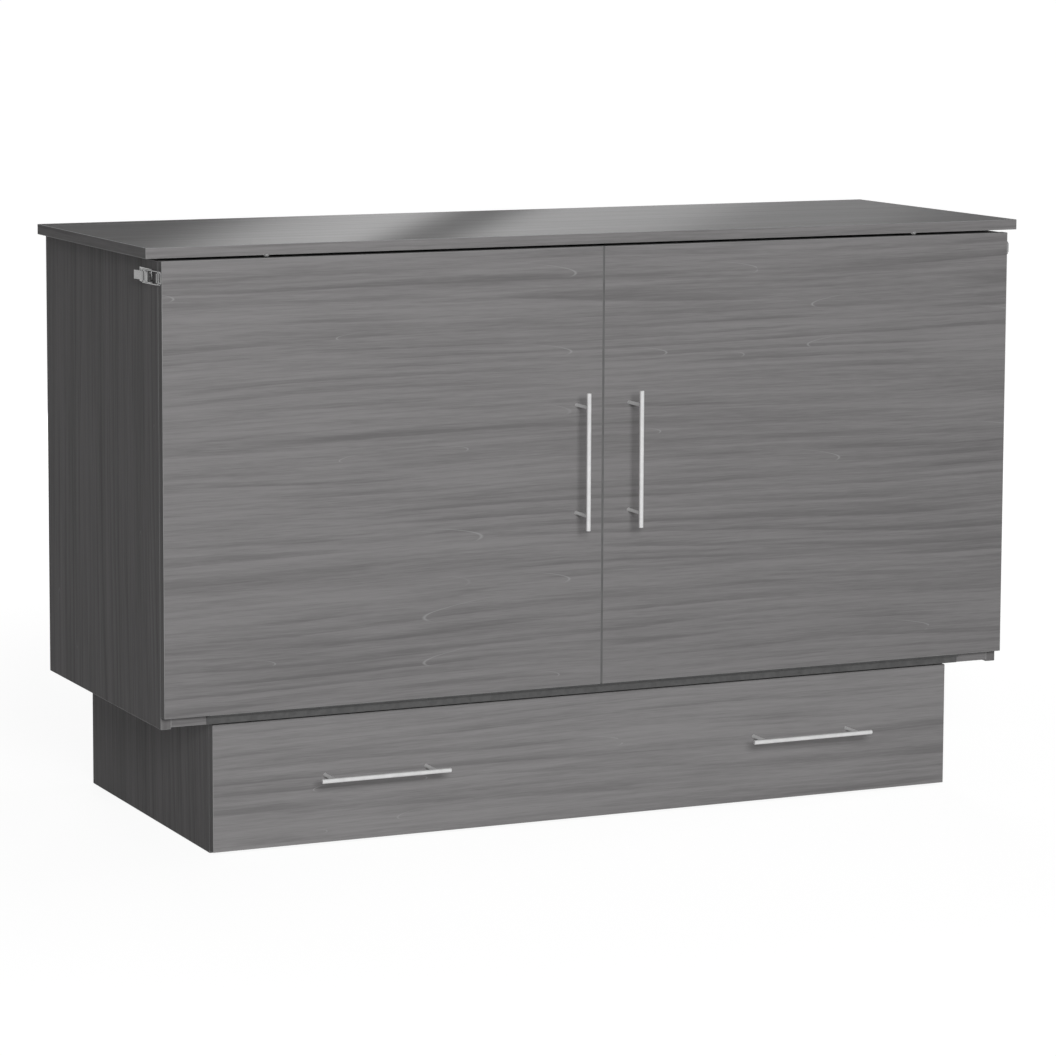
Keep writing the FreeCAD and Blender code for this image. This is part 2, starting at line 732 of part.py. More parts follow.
# ---- check every object, then write the pieces --------------------------------

doc.recompute()
faults = []
for item in doc.Objects:
    for word in ("Invalid", "Error"):
        if word in item.State:
            faults.append((item.Label, item.State))
for item in made:
    if item.Shape.isNull() or not item.Shape.isValid():
        faults.append((item.Label, "shape"))
if faults:
    raise SystemExit("failed objects: %s" % faults)
for item in made:
    item.Shape.exportStep("parts/%s.step" % item.Label)
    solids = len(item.Shape.Solids)
    box = item.Shape.BoundBox
    print("%-20s %d solids  %8.1f cm3  x %7.1f %7.1f  y %7.1f %7.1f  z %7.1f %7.1f" % (
        item.Label, solids, item.Shape.Volume / 1000, box.XMin, box.XMax,
        box.YMin, box.YMax, box.ZMin, box.ZMax))
print(len(made), "pieces")
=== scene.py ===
import math

import bmesh
import bpy
from mathutils import Matrix, Vector


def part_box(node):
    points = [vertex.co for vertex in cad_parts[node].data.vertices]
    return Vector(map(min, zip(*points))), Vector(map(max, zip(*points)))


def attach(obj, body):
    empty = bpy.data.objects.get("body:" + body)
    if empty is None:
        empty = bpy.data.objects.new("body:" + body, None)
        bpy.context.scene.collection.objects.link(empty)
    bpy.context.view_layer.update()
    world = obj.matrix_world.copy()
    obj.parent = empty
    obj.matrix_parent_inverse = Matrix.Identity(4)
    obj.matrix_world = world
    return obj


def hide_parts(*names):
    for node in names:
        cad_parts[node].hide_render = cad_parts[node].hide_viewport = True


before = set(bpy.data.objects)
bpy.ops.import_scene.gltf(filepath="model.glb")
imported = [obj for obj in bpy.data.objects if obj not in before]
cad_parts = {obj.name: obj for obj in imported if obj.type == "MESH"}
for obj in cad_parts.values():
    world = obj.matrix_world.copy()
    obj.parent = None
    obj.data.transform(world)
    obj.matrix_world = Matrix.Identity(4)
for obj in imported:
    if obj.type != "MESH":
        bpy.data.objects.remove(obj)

# The closed cabinet bed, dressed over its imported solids. Metres throughout.

scene = bpy.context.scene
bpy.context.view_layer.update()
scene.view_settings.view_transform = "Standard"
print("frame loaded:", len(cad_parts), "nodes")


class Wire:  # a socket of a node tree that can be used in sums
    def __init__(self, tree, end=None):
        self.tree = tree
        self.end = end

    def node(self, kind, settings=None, sockets=None, out=0):
        made = self.tree.nodes.new(kind)
        for word, value in (settings or {}).items():
            if word == "stops":
                ramp = made.color_ramp.elements
                for index, (place, shade) in enumerate(value):
                    stop = ramp[index] if index < 2 else ramp.new(place)
                    stop.position = place
                    stop.color = shade if isinstance(shade, tuple) else (shade, shade, shade, 1)
            else:
                setattr(made, word, value)
        for key, value in (sockets or {}).items():
            if isinstance(value, Wire):
                self.tree.links.new(value.end, made.inputs[key])
            else:
                made.inputs[key].default_value = value
        return Wire(self.tree, made.outputs[out] if made.outputs else None)

    def other(self, out):
        return Wire(self.tree, self.end.node.outputs[out])

    def maths(self, operation, *values):
        return self.node("ShaderNodeMath", {"operation": operation}, dict(enumerate(values)))

    def __add__(self, value):
        return self.maths("ADD", self, value)

    def __radd__(self, value):
        return self.maths("ADD", value, self)

    def __sub__(self, value):
        return self.maths("SUBTRACT", self, value)

    def __rsub__(self, value):
        return self.maths("SUBTRACT", value, self)

    def __mul__(self, value):
        return self.maths("MULTIPLY", self, value)

    def __rmul__(self, value):
        return self.maths("MULTIPLY", value, self)

    def __truediv__(self, value):
        return self.maths("DIVIDE", self, value)

    def fade(self, low, high, first=0.0, last=1.0):
        return self.node("ShaderNodeMapRange", {"interpolation_type": "SMOOTHSTEP"},
                         {0: self, 1: low, 2: high, 3: first, 4: last})

    def grain(self, size, detail=3.0, rough=0.5):
        return self.node("ShaderNodeTexNoise", None,
                         {"Vector": self, "Scale": size, "Detail": detail, "Roughness": rough})

    def tint(self, first, second):
        return self.node("ShaderNodeMix", {"data_type": "RGBA"},
                         {0: self, 6: first, 7: second}, out=2)

    def vector(self, across, along, up):
        return self.node("ShaderNodeCombineXYZ", None, {0: across, 1: along, 2: up})


def newFinish(name):
    material = bpy.data.materials.new(name)
    material.use_nodes = True
    material.node_tree.nodes.clear()
    return material, Wire(material.node_tree)


def finishWith(material, wire, height, strength, distance, sockets):
    if height is not None:
        sockets["Normal"] = wire.node("ShaderNodeBump", None, {
            "Height": height, "Strength": strength, "Distance": distance}, out="Normal")
    shader = wire.node("ShaderNodeBsdfPrincipled", None, sockets)
    wire.node("ShaderNodeOutputMaterial", None, {"Surface": shader})
    return material


def objectSpot(wire):  # a place on the piece, in metres
    return wire.node("ShaderNodeTexCoord", out="Object")


def parted(spot):
    split = spot.node("ShaderNodeSeparateXYZ", None, {0: spot})
    return split, split.other(1), split.other(2)


def grey(level, warm=0.0):  # an sRGB level of the photograph as a linear colour
    def linear(value):
        value = value / 255
        return value / 12.92 if value <= 0.04045 else ((value + 0.055) / 1.055) ** 2.4
    return (linear(level + warm), linear(level - warm * 0.4), linear(level), 1)


# The camera stands where the photograph's did, and the key light stands close beside it.

cameraPlace = {"azimuth": -23.7413, "elevation": 6.8253, "roll": 0.0922, "focalPixels": 4039.46,
               "centre": (441.85, 402.27), "frame": 1056, "sensor": 36, "reach": 400,
               "stand": (-3.0179, -6.4745, 1.5548)}


def makeCamera():
    look = cameraPlace
    side, rise, roll = (math.radians(look[word]) for word in ("azimuth", "elevation", "roll"))
    back = Vector((math.sin(side) * math.cos(rise), -math.cos(side) * math.cos(rise), math.sin(rise)))
    right = (-back).cross(Vector((0, 0, 1))).normalized()
    up = right.cross(-back)
    right, up = (right * math.cos(roll) + up * math.sin(roll),
                 up * math.cos(roll) - right * math.sin(roll))
    data = bpy.data.cameras.new("camera")
    data.sensor_fit = "HORIZONTAL"
    data.sensor_width = look["sensor"]
    size = look["frame"]
    data.lens = look["focalPixels"] / size * look["sensor"]
    data.shift_x = (size / 2 - look["centre"][0]) / size
    data.shift_y = (look["centre"][1] - size / 2) / size
    data.clip_end = look["reach"]
    camera = bpy.data.objects.new("camera", data)
    turn = Matrix((right, up, back)).transposed().to_4x4()
    camera.matrix_world = Matrix.Translation(look["stand"]) @ turn
    scene.collection.objects.link(camera)
    scene.camera = camera


lampPlaces = {  # the weak lamps behind and at the right keep those sides readable
    "key": {"at": (-1.65, -6.6, 2.5), "aim": (0, -0.3, 0.5), "size": (2.5, 2.0), "power": 335},
    "rear": {"at": (1.2, 5.6, 1.1), "aim": (0, 0.3, 0.6), "size": (2.4, 1.2), "power": 150},
    "right": {"at": (5.2, 0.2, 1.1), "aim": (0.8, 0, 0.6), "size": (1.6, 1.2), "power": 80},
}


def makeLamps():
    for name, facts in lampPlaces.items():
        data = bpy.data.lights.new(name + "Lamp", "AREA")
        data.shape = "RECTANGLE"
        data.size, data.size_y = facts["size"]
        data.energy = facts["power"]
        lamp = bpy.data.objects.new(name + "Lamp", data)
        lamp.location = facts["at"]
        way = Vector(facts["aim"]) - Vector(facts["at"])
        lamp.rotation_euler = way.to_track_quat("-Z", "Y").to_euler()
        lamp.visible_glossy = False  # the polished lid mirrors the plain room instead
        scene.collection.objects.link(lamp)


roomLight = {"ambient": 0.08, "shine": 0.7}  # shine is the share of the white room that mirrors see


def seenDirectly(wire, shine):
    path = wire.node("ShaderNodeLightPath", out="Is Camera Ray")
    through = path.maths("MAXIMUM", path, path.other("Is Transmission Ray"))
    return through.maths("MAXIMUM", through, path.other("Is Glossy Ray") * shine)


def makeWorld():
    world = bpy.data.worlds.new("room")
    world.use_nodes = True
    world.node_tree.nodes.clear()
    scene.world = world
    wire = Wire(world.node_tree)
    dim, white = (wire.node("ShaderNodeBackground", None, {"Color": (1, 1, 1, 1), "Strength": level})
                  for level in (roomLight["ambient"], 1.0))
    both = wire.node("ShaderNodeMixShader", None,
                     {0: seenDirectly(wire, roomLight["shine"]), 1: dim, 2: white})
    wire.node("ShaderNodeOutputWorld", None, {"Surface": both})


floorLook = {  # the floor glows more with distance, so that the ground fades to white
    "reach": 120, "round": 96, "mottle": 0.7, "shades": (0.62, 0.64),
    "white": 0.66, "near": 1.0, "far": 5.0, "nearGlow": 1.36, "farGlow": 1.50,
}


def makeFloor():
    look = floorLook
    bm = bmesh.new()
    bmesh.ops.create_circle(bm, cap_ends=True, segments=look["round"], radius=look["reach"])
    mesh = bpy.data.meshes.new("floor")
    bm.to_mesh(mesh)
    bm.free()
    floor = bpy.data.objects.new("floor", mesh)
    scene.collection.objects.link(floor)
    material, wire = newFinish("paleFloor")
    spot = objectSpot(wire)
    mottle = spot.grain(look["mottle"]).fade(0.3, 0.7, *look["shades"])
    cover = wire.node("ShaderNodeBsdfDiffuse", None, {"Color": mottle})
    away = wire.node("ShaderNodeVectorMath", {"operation": "LENGTH"}, {0: spot}, out="Value")
    bright = away.fade(look["near"], look["far"], look["nearGlow"], look["farGlow"])
    glow = wire.node("ShaderNodeEmission", None, {"Color": (1, 1, 1, 1), "Strength": bright})
    share = seenDirectly(wire, roomLight["shine"]) * look["white"]
    both = wire.node("ShaderNodeMixShader", None, {0: share, 1: cover, 2: glow})
    wire.node("ShaderNodeOutputMaterial", None, {"Surface": both})
    mesh.materials.append(material)


# The lid mirrors a screen with soft slanting bands, which stands far behind the cabinet.

screenLook = {"behind": 6.0, "left": 0.2, "right": 5.6, "low": 1.1, "high": 2.0,
              "slant": 2.45, "first": 4.71, "last": 8.51,
              "bands": ((0.0, 0.02), (0.13, 0.02), (0.18, 0.34), (0.225, 0.70), (0.335, 0.98),
                        (0.385, 0.04), (0.420, 0.06), (0.465, 0.76), (0.62, 0.66), (0.70, 0.34),
                        (0.84, 0.32), (0.95, 0.12))}


def makeScreen():
    look = screenLook
    corners = (("left", "low"), ("right", "low"), ("right", "high"), ("left", "high"))
    mesh = bpy.data.meshes.new("bandScreen")
    mesh.from_pydata([(look[x], look["behind"], look[z]) for x, z in corners], [], [(0, 1, 2, 3)])
    screen = bpy.data.objects.new("bandScreen", mesh)
    scene.collection.objects.link(screen)
    material, wire = newFinish("bandScreen")
    x, _, z = parted(objectSpot(wire))
    band = (x + z * look["slant"] - look["first"]) / (look["last"] - look["first"])
    shade = band.node("ShaderNodeValToRGB", {"stops": look["bands"]}, {0: band})
    glow = wire.node("ShaderNodeEmission", None, {"Color": shade, "Strength": 1.0})
    wire.node("ShaderNodeOutputMaterial", None, {"Surface": glow})
    mesh.materials.append(material)
    for ray in ("camera", "diffuse", "transmission", "volume_scatter", "shadow"):
        setattr(screen, "visible_" + ray, False)


makeCamera()
makeLamps()
makeWorld()
makeFloor()
makeScreen()
print("camera, lamps and floor placed")

# Finishes. Levels are those of the photograph, turned into linear colour by grey().

woodLook = {  # a size is in waves per metre, along and across the grain
    "rise": 0.008, "wave": 0.052, "waveSize": (0.9, 1.8), "ripple": 0.0032,
    "rippleSize": (13.0, 26.0), "rings": 38, "ringSpread": 5.0, "spreadSize": (0.5, 8.0),
    "lateWidth": 0.62, "lateEdge": 0.09, "patchSize": (2.4, 15.0), "patchEdges": (0.36, 0.66),
    "bandSize": (0.7, 26), "lineSize": (4.0, 160), "fibreSize": (24.0, 700),
    "poreSize": (30.0, 560.0), "poreEdges": (0.62, 0.76), "middle": 0.62, "bandShare": 0.75,
    "lineShare": 0.95, "fibreShare": 0.8, "lateShare": 0.38, "poreShare": 0.08, "pale": 136,
    # groove: a darker colour for the front panel's groove, painted shade in the recess
    # tape: the paler colour of the eased arrises, edge tape and partly a painted highlight
    "paleWarm": 1.2, "dark": 109, "darkWarm": 1.0, "tapeAndHighlight": 150, "groove": 112, "bump": 0.00012,
    "coatRough": 0.055,
}
tipLook = {  # pale flame tips, one in a few of the cells
    "cell": (5.6, 15.0), "scatter": 0.85, "smallest": 0.6, "larger": 0.9, "turned": 0.72,
    "narrow": (5.0, 9.0), "bend": 0.5, "line": (0.90, 0.99, 1.10), "armAlong": (-2.6, 0.9),
    "armAcross": (-0.9, -0.1), "rate": 0.80, "rateEdge": 0.08, "share": 0.6, "level": 160,
}


def flameTips(wire, along, level):
    look = tipLook
    wide, tall = look["cell"]
    cell = wire.node("ShaderNodeTexVoronoi", {"feature": "F1", "voronoi_dimensions": "2D"}, {
        "Vector": wire.vector(along * wide, level * tall, 0.0), "Scale": 1.0,
        "Randomness": look["scatter"]}, out="Color")
    middle, height, _ = parted(cell.other("Position"))
    chance, sizeChance, wayChance = parted(cell)
    size = sizeChance * look["larger"] + look["smallest"]
    way = 1 - wayChance.maths("GREATER_THAN", wayChance, look["turned"]) * 2
    run = (along * wide - middle) * way * look["narrow"][0] / size
    lift = (level * tall - height) * look["narrow"][1] / size
    flame = run + lift * lift * look["bend"]
    start, crest, end = look["line"]
    tip = flame.fade(start, crest) * flame.fade(crest, end, 1.0, 0.0)
    arm = run.fade(*look["armAlong"]) * lift.fade(*look["armAcross"])
    return tip * arm * chance.fade(look["rate"], look["rate"] + look["rateEdge"])


# shade moves both levels of the laminate; the calls below use it for lit and shaded copies of one
# finish, which is painted light
def woodgrain(name, grainAxis, seed, shade=0, figure=1.0, rough=0.5, shine=0.15, coat=0.0):
    look = woodLook
    material, wire = newFinish(name)
    x, y, z = parted(objectSpot(wire))
    along, first, second = {"x": (x, z, y), "y": (y, x, z), "z": (z, y, x)}[grainAxis]
    along, across, depth = along + seed, first + second, first - second

    def through(size, detail, coarse=0.5):  # noise that runs through the whole board
        spot = wire.vector(along * size[0], across * size[1], depth * size[1])
        return spot.grain(1.0, detail, coarse)

    def onLines(size, detail, coarse=0.5):  # noise that follows the growth lines
        return wire.vector(along * size[0], level * size[1], seed).grain(1.0, detail, coarse)

    level = (across - along * look["rise"] + (through(look["waveSize"], 1.0) - 0.5) * look["wave"]
             + (through(look["rippleSize"], 2.0) - 0.5) * look["ripple"])
    ringPlace = level * look["rings"] + (onLines(look["spreadSize"], 1.0) - 0.5) * look["ringSpread"]
    ring = ringPlace.maths("FRACT", ringPlace)
    late = ring.fade(0.0, look["lateWidth"], 1.0, 0.0) * ring.fade(0.0, look["lateEdge"])
    patchy = onLines(look["patchSize"], 1.0).fade(*look["patchEdges"])
    band = onLines(look["bandSize"], 2.0)
    lines = onLines(look["lineSize"], 2.5, 0.6)
    fibre = through(look["fibreSize"], 2.0, 0.6)
    pore = through(look["poreSize"], 2.0).fade(*look["poreEdges"])
    tone = (look["middle"] + (band - 0.5) * look["bandShare"] + (lines - 0.5) * look["lineShare"]
            + (fibre - 0.5) * look["fibreShare"] - late * patchy * look["lateShare"] * figure
            - pore * look["poreShare"])
    colour = tone.fade(0.0, 1.0).tint(grey(look["dark"] + shade, look["darkWarm"]),
                                      grey(look["pale"] + shade, look["paleWarm"]))
    tips = flameTips(wire, along, level) * figure * tipLook["share"]
    colour = tips.tint(colour, grey(tipLook["level"] + shade))
    sheen = (fibre - 0.5) * 0.12 + rough + late * 0.04
    height = fibre * 0.8 + (1 - pore) * 0.6 + (1 - late) * 0.4
    return finishWith(material, wire, height, 0.3, look["bump"], {
        "Base Color": colour, "Roughness": sheen, "Specular IOR Level": shine,
        "Coat Weight": coat, "Coat Roughness": look["coatRough"]})


# Painted shade: the depth-wise and upright woods (shade -6 and -12) and the lid (shade -6) are
# written darker than the front, for the weaker light on the sides, on edges and on the lid's top
wood = {
    "x": woodgrain("greyWoodAcross", "x", 3.1),
    "y": woodgrain("greyWoodDepthShaded", "y", 7.3, shade=-6, figure=0.6, shine=0.05),
    "z": woodgrain("greyWoodUprightShaded", "z", 5.7, shade=-12, figure=0.6, shine=0.04),
}
# Painted light: the drawer front is written lighter (shade=8) than the front panel to make up for the
# weaker light on it; its other seed gives it its own figure
drawerWood = woodgrain("greyWoodDrawerLit", "x", 19.4, shade=8)
lidWood = woodgrain("greyWoodLidShaded", "x", 11.9, shade=-6, rough=0.45, shine=0.1, coat=0.5)


plainLook = {"mottle": 34.0, "pressed": 1400.0, "contrast": 4, "bump": 0.0001, "shine": 0.4}


def plainBoard(name, level, rough):  # melamine with a faint pressed texture
    look = plainLook
    material, wire = newFinish(name)
    spot = objectSpot(wire)
    mottle = spot.grain(look["mottle"], 4.0, 0.6)
    colour = mottle.fade(0.3, 0.7).tint(
        grey(level - look["contrast"]), grey(level + look["contrast"]))
    return finishWith(material, wire, spot.grain(look["pressed"], 2.0), 0.25, look["bump"], {
        "Base Color": colour, "Roughness": (mottle - 0.5) * 0.12 + rough,
        "Specular IOR Level": look["shine"]})


greyBoard = plainBoard("greyBoard", 118, 0.55)
# the edge tape is written paler than the boards, partly as a painted highlight where the eased
# arrises catch the light
edgeTapeAndHighlight = plainBoard("edgeTapeAndHighlight", woodLook["tapeAndHighlight"], 0.4)
# the groove's darker colour is painted shade in the recess
grooveShadeBoard = plainBoard("grooveShadeBoard", woodLook["groove"], 0.6)
drawerBoard = plainBoard("drawerBoard", 168, 0.5)

slatGrain = {
    "pale": (0.70, 0.52, 0.33, 1), "dark": (0.52, 0.34, 0.19, 1), "fleck": (0.38, 0.24, 0.13, 1),
    "rings": 170.0, "sideRings": 60.0, "ringWave": 9.0, "waveSize": (1.6, 9.0),
    "fibreSize": (9.0, 420.0), "fleckSize": (30.0, 260.0), "fleckEdges": (0.64, 0.75),
    "diceShift": 9.0, "rough": 0.56, "shine": 0.3, "bump": 0.00015,
}


def slatFinish(name, grainAxis, pitch):
    look = slatGrain
    material, wire = newFinish(name)
    x, y, z = parted(objectSpot(wire))
    along, side = (y, z) if grainAxis == "y" else (z, y)
    plank = (x / pitch + 0.5).maths("FLOOR", x / pitch + 0.5)
    dice = wire.node("ShaderNodeTexWhiteNoise", {"noise_dimensions": "1D"}, {"W": plank}, out="Value")
    shift = dice * look["diceShift"]

    def inSlat(size, detail, moved):
        way = along * size[0] + shift if moved else along * size[0]
        return wire.vector(way, x * size[1], side * size[1]).grain(1.0, detail)

    rings = (x * look["rings"] + side * look["sideRings"]
             + inSlat(look["waveSize"], 2.0, True) * look["ringWave"] + shift)
    late = rings.maths("FRACT", rings).fade(0.1, 1.0)
    fibre = inSlat(look["fibreSize"], 3.0, True)
    tone = late * 0.45 + (fibre - 0.5) * 0.5 + dice * 0.4
    fleck = inSlat(look["fleckSize"], 1.0, False).fade(*look["fleckEdges"])
    colour = (fleck * 0.5).tint(tone.fade(0.0, 1.2).tint(look["pale"], look["dark"]), look["fleck"])
    return finishWith(material, wire, fibre + late * 0.5, 0.4, look["bump"], {
        "Base Color": colour, "Roughness": (fibre - 0.5) * 0.2 + look["rough"],
        "Specular IOR Level": look["shine"]})


slatUpright = slatFinish("slatWoodUpright", "z", 0.085)
slatLevel = slatFinish("slatWoodLevel", "y", 0.17)

metalLook = {"fast": 2400.0, "slow": 30.0, "cloud": 60.0, "darker": 10, "paler": 6, "bump": 0.00004}


def metal(name, level, rough, brushed, streakAxis="x", wear=0.12, metallic=1.0):
    look = metalLook
    material, wire = newFinish(name)
    spot = objectSpot(wire)
    sizes = [look["slow"] if axis == streakAxis else look["fast"] for axis in "xyz"]
    line = wire.vector(*(part * size for part, size in zip(parted(spot), sizes))).grain(1.0, 2.0)
    cloud = spot.grain(look["cloud"], 4.0, 0.6)
    colour = (cloud * 0.6 + line * 0.4).fade(0.3, 0.7).tint(
        grey(level - look["darker"]), grey(level + look["paler"]))
    sheen = rough + (line - 0.5) * brushed + (cloud - 0.5) * wear
    return finishWith(material, wire, line, brushed, look["bump"], {
        "Base Color": colour, "Roughness": sheen, "Metallic": metallic})


satinUpright = metal("satinBarUpright", 238, 0.32, 0.05, "z", 0.05, metallic=0.55)
satinLevel = metal("satinBarLevel", 238, 0.32, 0.05, "x", 0.05, metallic=0.55)
latchNickel = metal("latchNickel", 176, 0.24, 0.04, "y", 0.16)
screwZinc = metal("screwZinc", 190, 0.32, 0.08, "y", 0.2)
runnerZinc = metal("runnerZinc", 186, 0.36, 0.1, "y", 0.24)
legSteel = metal("legSteel", 170, 0.42, 0.1, "x", 0.2)

coatedLook = {"cloud": 90.0, "speck": 2600.0, "levels": (84, 96), "rough": 0.48, "metallic": 0.35,
              "bump": 0.00005}


def coatedSteel(name):  # the continuous hinges are coated to go with the boards
    look = coatedLook
    material, wire = newFinish(name)
    spot = objectSpot(wire)
    cloud = spot.grain(look["cloud"], 4.0)
    dark, pale = look["levels"]
    return finishWith(material, wire, spot.grain(look["speck"], 2.0), 0.3, look["bump"], {
        "Base Color": cloud.fade(0.3, 0.7).tint(grey(dark), grey(pale)),
        "Roughness": (cloud - 0.5) * 0.2 + look["rough"], "Metallic": look["metallic"]})


softLook = {"cloud": 220.0, "contrast": 8, "bump": 0.0001, "bending": 1.42}


def softFinish(name, level, rough, skinSize, seeThrough=0.0):
    look = softLook
    material, wire = newFinish(name)
    spot = objectSpot(wire)
    skin = spot.grain(skinSize, 2.0)
    colour = spot.grain(look["cloud"], 3.0).fade(0.3, 0.7).tint(
        grey(level - look["contrast"]), grey(level + look["contrast"]))
    return finishWith(material, wire, skin, 0.4, look["bump"], {
        "Base Color": colour, "Roughness": (skin - 0.5) * 0.1 + rough,
        "Transmission Weight": seeThrough, "IOR": look["bending"]})


hingeSteel = coatedSteel("hingeSteel")
legRubber = softFinish("legRubber", 38, 0.7, 1800.0)
clearBumper = softFinish("clearBumper", 190, 0.22, 900.0, 0.55)
print("finishes made")

# Boards keep their solid's outline; their arrises are eased and show the paler edge tape, whose paler
# colour is partly a painted highlight along the edges.


def newPiece(name, mesh, body, replaced=(), finishes=()):
    mesh.name = name
    piece = bpy.data.objects.new(name, mesh)
    scene.collection.objects.link(piece)
    for material in finishes:
        mesh.materials.append(material)
    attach(piece, body)
    if replaced:
        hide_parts(*replaced)
    return piece


meshLook = {"weld": 2e-6, "flatAngle": 0.6}


def nodeShape(node):  # a node's solid with the seams of its flat faces taken out
    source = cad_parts[node].data
    bm = bmesh.new()
    corners = [bm.verts.new(v.co) for v in source.vertices]
    for face in source.polygons:
        try:
            bm.faces.new([corners[i] for i in face.vertices])
        except ValueError:  # the same face twice
            pass
    bmesh.ops.remove_doubles(bm, verts=bm.verts, dist=meshLook["weld"])
    bmesh.ops.dissolve_limit(bm, angle_limit=math.radians(meshLook["flatAngle"]),
                             verts=bm.verts, edges=bm.edges)
    return bm


def easeEdges(bm, width, angle=30, steps=2):
    limit = math.radians(angle)
    sharp = [e for e in bm.edges if len(e.link_faces) == 2 and e.calc_face_angle(0) > limit]
    return bmesh.ops.bevel(bm, geom=sharp, offset=width, segments=steps, profile=0.5,
                           affect="EDGES", clamp_overlap=True)["faces"]


def asMesh(bm, name):
    mesh = bpy.data.meshes.new(name)
    bmesh.ops.recalc_face_normals(bm, faces=bm.faces)
    for face in bm.faces:
        face.smooth = True
    bm.to_mesh(mesh)
    bm.free()
    return mesh


def evenShade(piece):
    weights = piece.modifiers.new("evenShade", "WEIGHTED_NORMAL")
    weights.keep_sharp = True
    return piece


boardLook = {"ease": 0.0007, "steps": 2, "grooveHalf": 0.003}
boards = {  # body, way of the grain, finish
    "side_left": ("cabinet", "z", wood), "side_right": ("cabinet", "z", wood),
    "cabinet_floor": ("cabinet", "x", wood), "back_panel": ("cabinet", "x", greyBoard),
    "top_rail": ("cabinet", "x", wood), "base_side_left": ("cabinet", "z", wood),
    "base_side_right": ("cabinet", "z", wood), "base_back": ("cabinet", "x", greyBoard),
    "base_rail_front": ("cabinet", "x", greyBoard), "base_rail_rear": ("cabinet", "x", greyBoard),
    "lid": ("lid", "x", lidWood), "front_panel": ("front", "x", wood),
    "drawer_front": ("drawer", "x", drawerWood), "drawer_side_left": ("drawer", "y", drawerBoard),
    "drawer_side_right": ("drawer", "y", drawerBoard), "drawer_back": ("drawer", "x", drawerBoard),
    "drawer_bottom": ("drawer", "x", drawerBoard),
}


def makeBoard(node, body, grainAxis, finish):
    low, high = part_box(node)
    sizes = high - low
    thin = min(range(3), key=lambda axis: sizes[axis])
    bm = nodeShape(node)
    eased = set(easeEdges(bm, boardLook["ease"], steps=boardLook["steps"]))
    if finish in (greyBoard, drawerBoard):
        finishes = [finish]
    else:
        broad = finish[grainAxis] if finish is wood else finish
        finishes = [broad, wood["x"], wood["y"], wood["z"], edgeTapeAndHighlight, grooveShadeBoard]
        for face in bm.faces:
            facing = max(range(3), key=lambda axis: abs(face.normal[axis]))
            nearMiddle = abs(face.calc_center_median().x) < boardLook["grooveHalf"]
            # the groove's faces take the darker board, painted shade
            if node == "front_panel" and nearMiddle:
                face.material_index = finishes.index(grooveShadeBoard)
            # eased arrises take the paler tape, partly a painted highlight
            elif face in eased:
                face.material_index = finishes.index(edgeTapeAndHighlight)
            elif facing != thin:  # a narrow side's grain runs along it
                face.material_index = 1 + (3 - facing - thin)
    mesh = asMesh(bm, node + "_board")
    return evenShade(newPiece(node + "_board", mesh, body, [node], finishes))


for node, (body, grainAxis, finish) in boards.items():
    makeBoard(node, body, grainAxis, finish)
print("boards eased:", len(boards))

# Fitted metal and rubber pieces keep their solid's outline too.

sides = ("left", "right")
fittingKinds = (  # piece, body, finish, width of eased edges; a name ending in _ is for both sides
    ("latch_base_", "cabinet", latchNickel, 0.00025),
    ("latch_lever_", "latch_lever_", latchNickel, 0.00025),
    ("latch_keeper_", "front", latchNickel, 0.00025), ("keeper_strap", "front", runnerZinc, 0.0004),
    ("foot_rail", "foot_deck", slatUpright, 0.002), ("foot_leg_", "foot_leg_", slatUpright, 0.002),
    ("leg_pad_", "foot_leg_", legRubber, 0.0008), ("runner_fixed_", "cabinet", runnerZinc, 0.0003),
    ("runner_slide_", "drawer", runnerZinc, 0.0006),
)
latchLook = {"endReach": 0.003, "endRadius": 0.0042, "endSteps": 5}


def bothSides(word):
    return [word + side if word.endswith("_") else word for side in sides]


def roundCorners(bm):  # plates and lever tails have rounded corners
    ends = [e for e in bm.edges if len(e.link_faces) == 2 and e.calc_face_angle(0) > math.radians(60)
            and e.calc_length() < latchLook["endReach"]
            and abs((e.verts[0].co - e.verts[1].co).normalized().x) > 0.9]
    bmesh.ops.bevel(bm, geom=ends, offset=latchLook["endRadius"], segments=latchLook["endSteps"],
                    profile=0.5, affect="EDGES", clamp_overlap=True)


fittings = {}
for stem, rider, finish, width in fittingKinds:
    for node, body in zip(bothSides(stem), bothSides(rider)):
        fittings[node] = (body, finish, width)
for node, (body, finish, width) in fittings.items():
    bm = nodeShape(node)
    if node.startswith("latch_"):
        roundCorners(bm)
    easeEdges(bm, width, angle=40)
    mesh = asMesh(bm, node + "_fit")
    evenShade(newPiece(node + "_fit", mesh, body, [node], [finish]))
print("fittings eased:", len(fittings))

keptNodes = {
    "front_hinge_leaf": hingeSteel, "front_hinge_flap": hingeSteel, "front_hinge_pin": screwZinc,
    "lid_hinge_leaf": hingeSteel, "lid_hinge_flap": hingeSteel, "lid_hinge_pin": screwZinc,
    "latch_pin_left": latchNickel, "latch_pin_right": latchNickel,
    "latch_loop_left": latchNickel, "latch_loop_right": latchNickel,
    "leg_pin_left": legSteel, "leg_pin_right": legSteel,
}
for node, finish in keptNodes.items():
    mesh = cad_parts[node].data
    mesh.materials.clear()
    mesh.materials.append(finish)

# Bar pulls are turned from rod.

pullLook = {"round": 48, "postRound": 32, "chamfer": 0.0007, "barRadius": 0.004,
            "postRadius": 0.003, "postSpacing": 0.186, "collar": 0.0012, "collarEase": 0.0003,
            "collarRise": 0.0004, "endSteps": 4}


